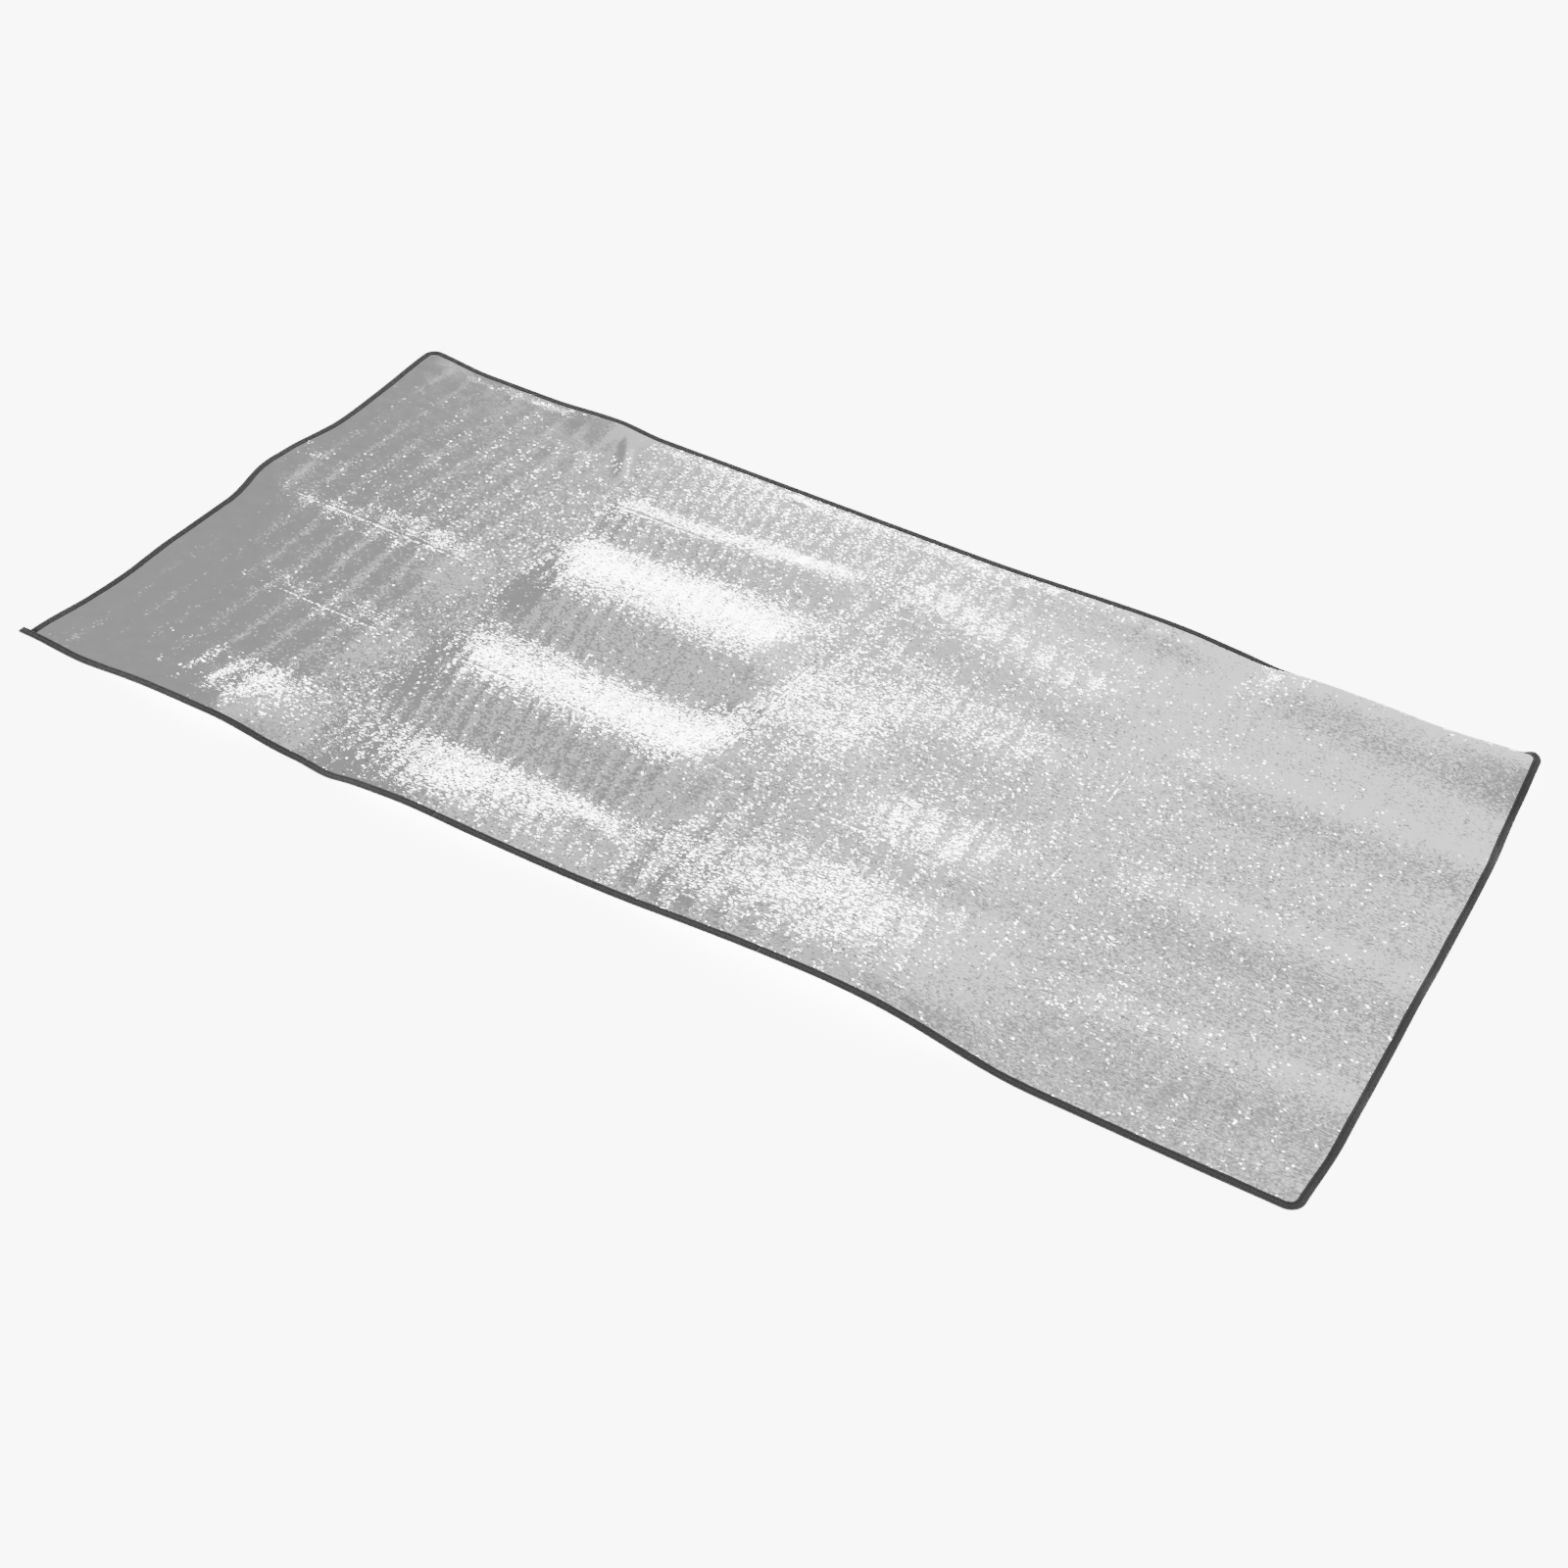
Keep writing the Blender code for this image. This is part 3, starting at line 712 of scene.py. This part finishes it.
def film_strength(tree, flat):
    """How strong the embossing is: calmer to the left and at the far edge, livelier where crushed."""
    place = add_node(tree, "ShaderNodeSeparateXYZ", {"Vector": flat}).outputs
    calm_left = map_range(tree, place["X"], *CALM_LEFT)
    calm_far = map_range(tree, place["Y"], *CALM_FAR)
    calm_far = math_node(tree, "MAXIMUM", calm_far, map_range(tree, place["X"], *CALM_FAR_LEAST))
    strength = math_node(tree, "MULTIPLY", calm_left, calm_far)
    strength = math_node(tree, "MULTIPLY", strength, rib_strength(tree, place))
    middle, full_reach, reach, extra = CRUSHED
    away = add_node(tree, "ShaderNodeVectorMath", {0: flat, 1: middle}, operation="DISTANCE")
    crushed = map_range(tree, away.outputs["Value"], full_reach, reach, 1.0 + extra, 1.0)
    return math_node(tree, "MULTIPLY", strength, crushed)


def foil_material(name):
    """Metallised film: a mirror embossed with small facets and with fine wrinkles along the pad."""
    material, tree, shader, flat = new_material(name)
    strength = film_strength(tree, flat)
    wrinkles = stretched_noise(tree, flat, WRINKLE_SIZE, distortion=0.3)
    wrinkles = math_node(tree, "MULTIPLY", wrinkles, strength)
    normal = embossing(tree, flat, strength)
    inputs = {"Distance": WRINKLE_HEIGHT, "Height": wrinkles, "Normal": normal}
    bump = add_node(tree, "ShaderNodeBump", inputs)
    haze = stretched_noise(tree, flat, HAZE_SIZE, detail=2.0, shift=1.3)
    link_inputs(
        tree,
        shader,
        {
            "Base Color": colour_mix(tree, haze, *FOIL_TONES),
            "Metallic": 1.0,
            "Roughness": map_range(tree, haze, 0.3, 0.7, *FOIL_ROUGHNESS),
            "Normal": bump.outputs["Normal"],
        },
    )
    return material


def foam_material():
    """Closed-cell foam: off-white, with small round cells."""
    material, tree, shader, flat = new_material("foam")
    inputs = {"Vector": flat, "Scale": FOAM_CELLS}
    height = add_node(tree, "ShaderNodeTexVoronoi", inputs, feature="SMOOTH_F1").outputs["Distance"]
    bump = add_node(tree, "ShaderNodeBump", {"Strength": 0.6, "Distance": 0.4 * MM, "Height": height})
    link_inputs(
        tree,
        shader,
        {
            "Base Color": colour_mix(tree, height, *FOAM_TONES),
            "Roughness": 0.8,
            "Normal": bump.outputs["Normal"],
        },
    )
    return material


def tape_material():
    """Woven binding tape: dark grey yarns over and under, with slightly paler fuzz."""
    material, tree, shader, flat = new_material("binding_tape")
    wave = 2 * math.pi / YARN_PITCH
    split = add_node(tree, "ShaderNodeSeparateXYZ", {"Vector": flat}).outputs
    warp = math_node(tree, "SINE", math_node(tree, "MULTIPLY", split["X"], wave))
    weft = math_node(tree, "SINE", math_node(tree, "MULTIPLY", split["Y"], wave))
    weave = math_node(tree, "MULTIPLY", warp, weft)
    fuzz = stretched_noise(tree, flat, FUZZ_SIZE, detail=3.0)
    height = math_node(tree, "ADD", math_node(tree, "MULTIPLY", weave, 0.5), fuzz)
    bump = add_node(tree, "ShaderNodeBump", {"Strength": 0.7, "Distance": 0.25 * MM, "Height": height})
    link_inputs(
        tree,
        shader,
        {
            "Base Color": colour_mix(tree, fuzz, *TAPE_TONES),
            "Roughness": 0.82,
            "Sheen Weight": 0.15,
            "Normal": bump.outputs["Normal"],
        },
    )
    return material


def thread_material():
    """Twisted polyester thread in the tape's colour, with painted shade in the grooves of its twist."""
    material, tree, shader, flat = new_material("thread")
    split = add_node(tree, "ShaderNodeSeparateXYZ", {"Vector": flat}).outputs
    slant = math_node(tree, "ADD", split["X"], math_node(tree, "MULTIPLY", split["Y"], STRAND_SLANT))
    twist = math_node(tree, "SINE", math_node(tree, "MULTIPLY", slant, 2 * math.pi / STRAND_PITCH))
    bump = add_node(tree, "ShaderNodeBump", {"Strength": 0.6, "Distance": 0.1 * MM, "Height": twist})
    # painted shade: darker where the twist's bump is low, in the grooves between strands
    tone = map_range(tree, twist, -1.0, 1.0, 0.0, 1.0)
    link_inputs(
        tree,
        shader,
        {
            "Base Color": colour_mix(tree, tone, *THREAD_GROOVE_SHADE_TONES),
            "Roughness": 0.6,
            "Normal": bump.outputs["Normal"],
        },
    )
    return material


# ================================================================ building


def cad_names(pattern, places):
    return [pattern.format(place) for place in places]


def finish_piece(obj, material, nodes):
    """Material, slot and the nodes it stands for."""
    obj.data.materials.append(material)
    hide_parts(*nodes)
    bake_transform(obj)


def make_layers(materials):
    """The two films and the foam between them."""
    for section in SECTIONS:
        panels = section.panels
        top = make_layer("foil_top", section, TOP_SPACING)
        foam = make_layer("foam", section, HIDDEN_SPACING)
        below = make_layer("foil_underside", section, HIDDEN_SPACING)
        finish_piece(top, materials["foil_top"], cad_names("foil_top_{}", panels))
        finish_piece(foam, materials["foam"], cad_names("foam_core_{}", panels))
        below_nodes = cad_names("foil_bottom_{}", panels)
        finish_piece(below, materials["foil_underside"], below_nodes)


def travel_near(x, y):
    """Distance along the outline of its station nearest to a place."""
    return float(TRAVEL[np.argmin(np.hypot(OUTLINE[:, 0] - x, OUTLINE[:, 1] - y))])


def make_edges(materials):
    """The tape and its two threads, cut where the sheets are."""
    left, middle, right = SECTIONS
    near_left_cut, near_right_cut = travel_near(-CUT, -WIDTH / 2), travel_near(CUT, -WIDTH / 2)
    far_right_cut, far_left_cut = travel_near(CUT, WIDTH / 2), travel_near(-CUT, WIDTH / 2)
    right_places = ("near_3", "near_4", "right_end", "far_4", "far_3")
    runs = (
        ("near_left", 0.0, near_left_cut, left, ("near_1", "near_2")),
        ("near_middle", near_left_cut, near_right_cut, middle, ("near_2", "near_3")),
        ("right_end", near_right_cut, far_right_cut, right, right_places),
        ("far_middle", far_right_cut, far_left_cut, middle, ("far_3", "far_2")),
        ("left_end", far_left_cut, float(TRAVEL[-1]), left, ("far_2", "far_1", "left_end")),
    )
    for name, start, end, section, places in runs:
        first = start + (TAIL if name == "near_left" else 0)
        tape = make_tape(f"tape_{name}", start, end)
        needle = make_thread(f"needle_stitches_{name}", first, end, True)
        bobbin = make_thread(f"bobbin_stitches_{name}", first, end, False)
        finish_piece(tape, materials["tape"], cad_names("binding_{}", places))
        needle_nodes = cad_names("needle_thread_{}", places)
        bobbin_nodes = cad_names("bobbin_thread_{}", places)
        finish_piece(needle, materials["thread"], needle_nodes)
        finish_piece(bobbin, materials["thread"], bobbin_nodes)


# ================================================================ studio


def make_camera():
    """The photograph's view. Yaw 0 looks towards +Y, and pitch is downward."""
    yaw, pitch, roll = (math.radians(angle) for angle in (CAMERA_YAW, CAMERA_PITCH, CAMERA_ROLL))
    ahead = np.array([math.sin(yaw) * math.cos(pitch), math.cos(yaw) * math.cos(pitch), -math.sin(pitch)])
    level_right = np.array([math.cos(yaw), -math.sin(yaw), 0.0])
    level_up = np.cross(level_right, ahead)
    right = math.cos(roll) * level_right + math.sin(roll) * level_up
    up = math.cos(roll) * level_up - math.sin(roll) * level_right
    turned = np.stack([right, up, -ahead], axis=1)
    data = bpy.data.cameras.new("camera")
    data.lens = CAMERA_LENS
    data.sensor_width = CAMERA_SENSOR
    camera = bpy.data.objects.new("camera", data)
    bpy.context.scene.collection.objects.link(camera)
    camera.matrix_world = Matrix.Translation(CAMERA_PLACE) @ Matrix(turned.tolist()).to_4x4()
    bpy.context.scene.camera = camera


def make_floor():
    """A plain pale floor that glows, so that it is as light as the pad's background."""
    sides = (-FLOOR_REACH, FLOOR_REACH)
    points = np.array([(x, y, FLOOR_LEVEL) for x in sides for y in sides])
    floor = new_object("floor", points, [(0, 2, 3, 1)], points[:, :2])
    material = bpy.data.materials.new("floor")
    material.use_nodes = True
    shader = material.node_tree.nodes["Principled BSDF"]
    shader.inputs["Base Color"].default_value = (FLOOR_TONE, FLOOR_TONE, FLOOR_TONE, 1)
    shader.inputs["Roughness"].default_value = 0.9
    shader.inputs["Specular IOR Level"].default_value = 0.0
    shader.inputs["Emission Color"].default_value = (1, 1, 1, 1)
    shader.inputs["Emission Strength"].default_value = FLOOR_GLOW
    floor.data.materials.append(material)


def area_light(name, azimuth, elevation, distance, width, height, radiance, roll):
    """A soft panel that faces the pad's middle. Azimuth 0 is towards +Y and 90 towards +X."""
    turn, rise = math.radians(azimuth), math.radians(elevation)
    towards = np.array([math.sin(turn) * math.cos(rise), math.cos(turn) * math.cos(rise), math.sin(rise)])
    data = bpy.data.lights.new(name, "AREA")
    data.shape = "RECTANGLE"
    data.size, data.size_y = width, height
    data.energy = radiance * math.pi * width * height
    light = bpy.data.objects.new(name, data)
    bpy.context.scene.collection.objects.link(light)
    tilt = math.radians(roll)
    level = np.array([math.cos(turn), -math.sin(turn), 0.0])
    side = math.cos(tilt) * level - math.sin(tilt) * np.cross(towards, level)
    turned = np.stack([side, np.cross(towards, side), towards], axis=1)
    place = Matrix.Translation((towards * distance).tolist())
    light.matrix_world = place @ Matrix(turned.tolist()).to_4x4()
    light.visible_camera = False


def make_world():
    """Soft surroundings: darker to the left, high up on the right, and in front of the pad."""
    world = bpy.data.worlds.new("studio")
    bpy.context.scene.world = world
    world.use_nodes = True
    tree = world.node_tree
    direction = add_node(tree, "ShaderNodeTexCoord").outputs["Generated"]
    split = add_node(tree, "ShaderNodeSeparateXYZ", {"Vector": direction}).outputs
    overhead = map_range(tree, split["Z"], *GAP_FROM_Z, 0.0, 1.0)
    above = map_range(tree, split["Z"], *GAP_TO_Z, 0.0, 1.0)
    rightness = map_range(tree, split["X"], *GAP_FROM_X, 0.0, 1.0)
    gap = math_node(tree, "SUBTRACT", overhead, above)
    shade = math_node(tree, "MULTIPLY", math_node(tree, "MULTIPLY", gap, rightness), GAP_SHADE)
    side_tone = map_range(tree, split["X"], *WORLD_LEFT)
    tone = math_node(tree, "MULTIPLY", side_tone, math_node(tree, "ADD", shade, 1.0))
    tone = math_node(tree, "MULTIPLY", tone, map_range(tree, split["Y"], *WORLD_FRONT))
    background = tree.nodes["Background"]
    tree.links.new(tone, background.inputs["Strength"])
    background.inputs["Color"].default_value = (1, 1, 1, 1)


def make_studio():
    make_camera()
    make_floor()
    make_world()
    for name, settings in LIGHTS.items():
        area_light(name, *settings)


def main():
    materials = {
        "foil_top": foil_material("foil_top"),
        "foil_underside": foil_material("foil_underside"),
        "foam": foam_material(),
        "tape": tape_material(),
        "thread": thread_material(),
    }
    make_studio()
    make_layers(materials)
    make_edges(materials)


main()
